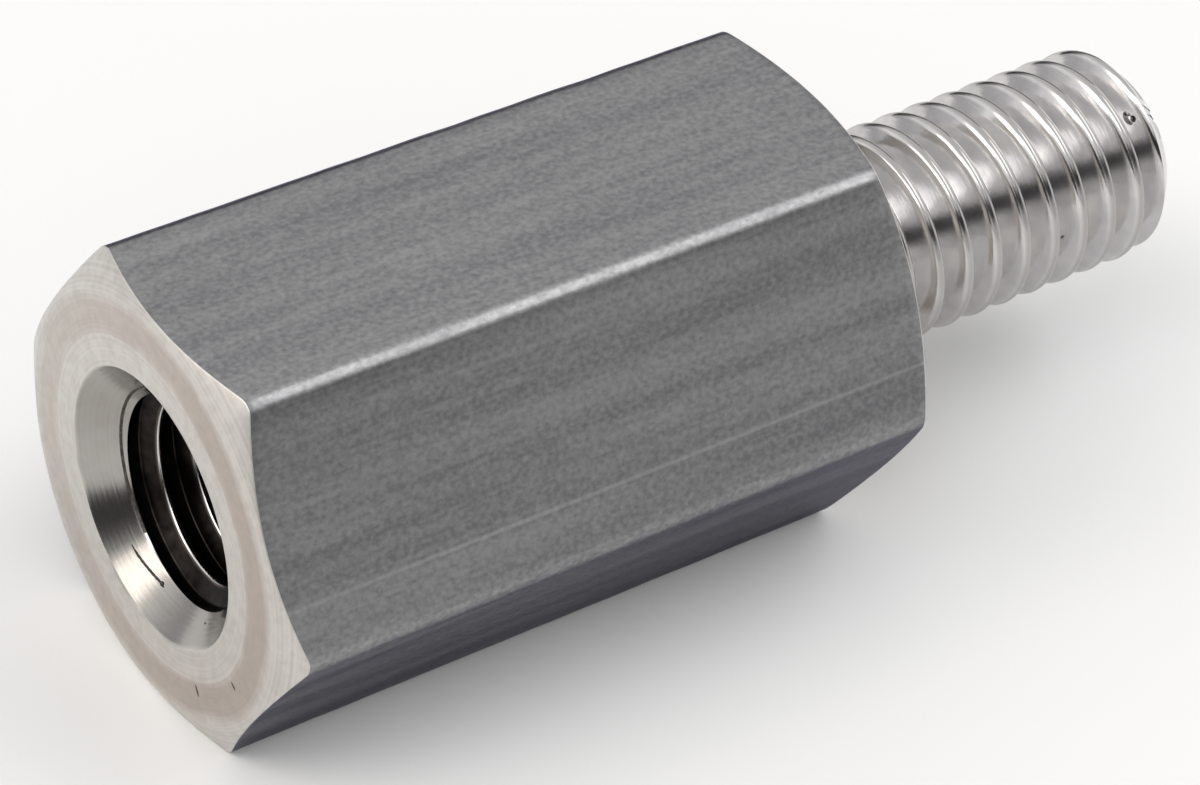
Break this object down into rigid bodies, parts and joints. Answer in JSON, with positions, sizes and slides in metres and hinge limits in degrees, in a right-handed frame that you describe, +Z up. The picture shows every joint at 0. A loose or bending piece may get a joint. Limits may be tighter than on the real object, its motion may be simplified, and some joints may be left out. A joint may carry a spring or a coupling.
{
  "type": "hex standoff",
  "caption": "Male-female hexagonal metal standoff: a countersunk tapped hole at one end, a threaded stud at the other, shallow turned chamfers on both ends.",
  "frame": {"origin": "centre of the shoulder face, where the stud leaves the body", "axes": "+X along the axis, out of the stud's tip; +Z up, square to the flat that it lies on; the tapped hole opens towards -X"},
  "size_m": [0.0249, 0.0108, 0.0096],
  "materials": {
    "aluminium": "plain drawn bar, turned ends"
  },
  "bodies": {
    "root": {"standoff": "aluminium"}
  },
  "joints": []
}
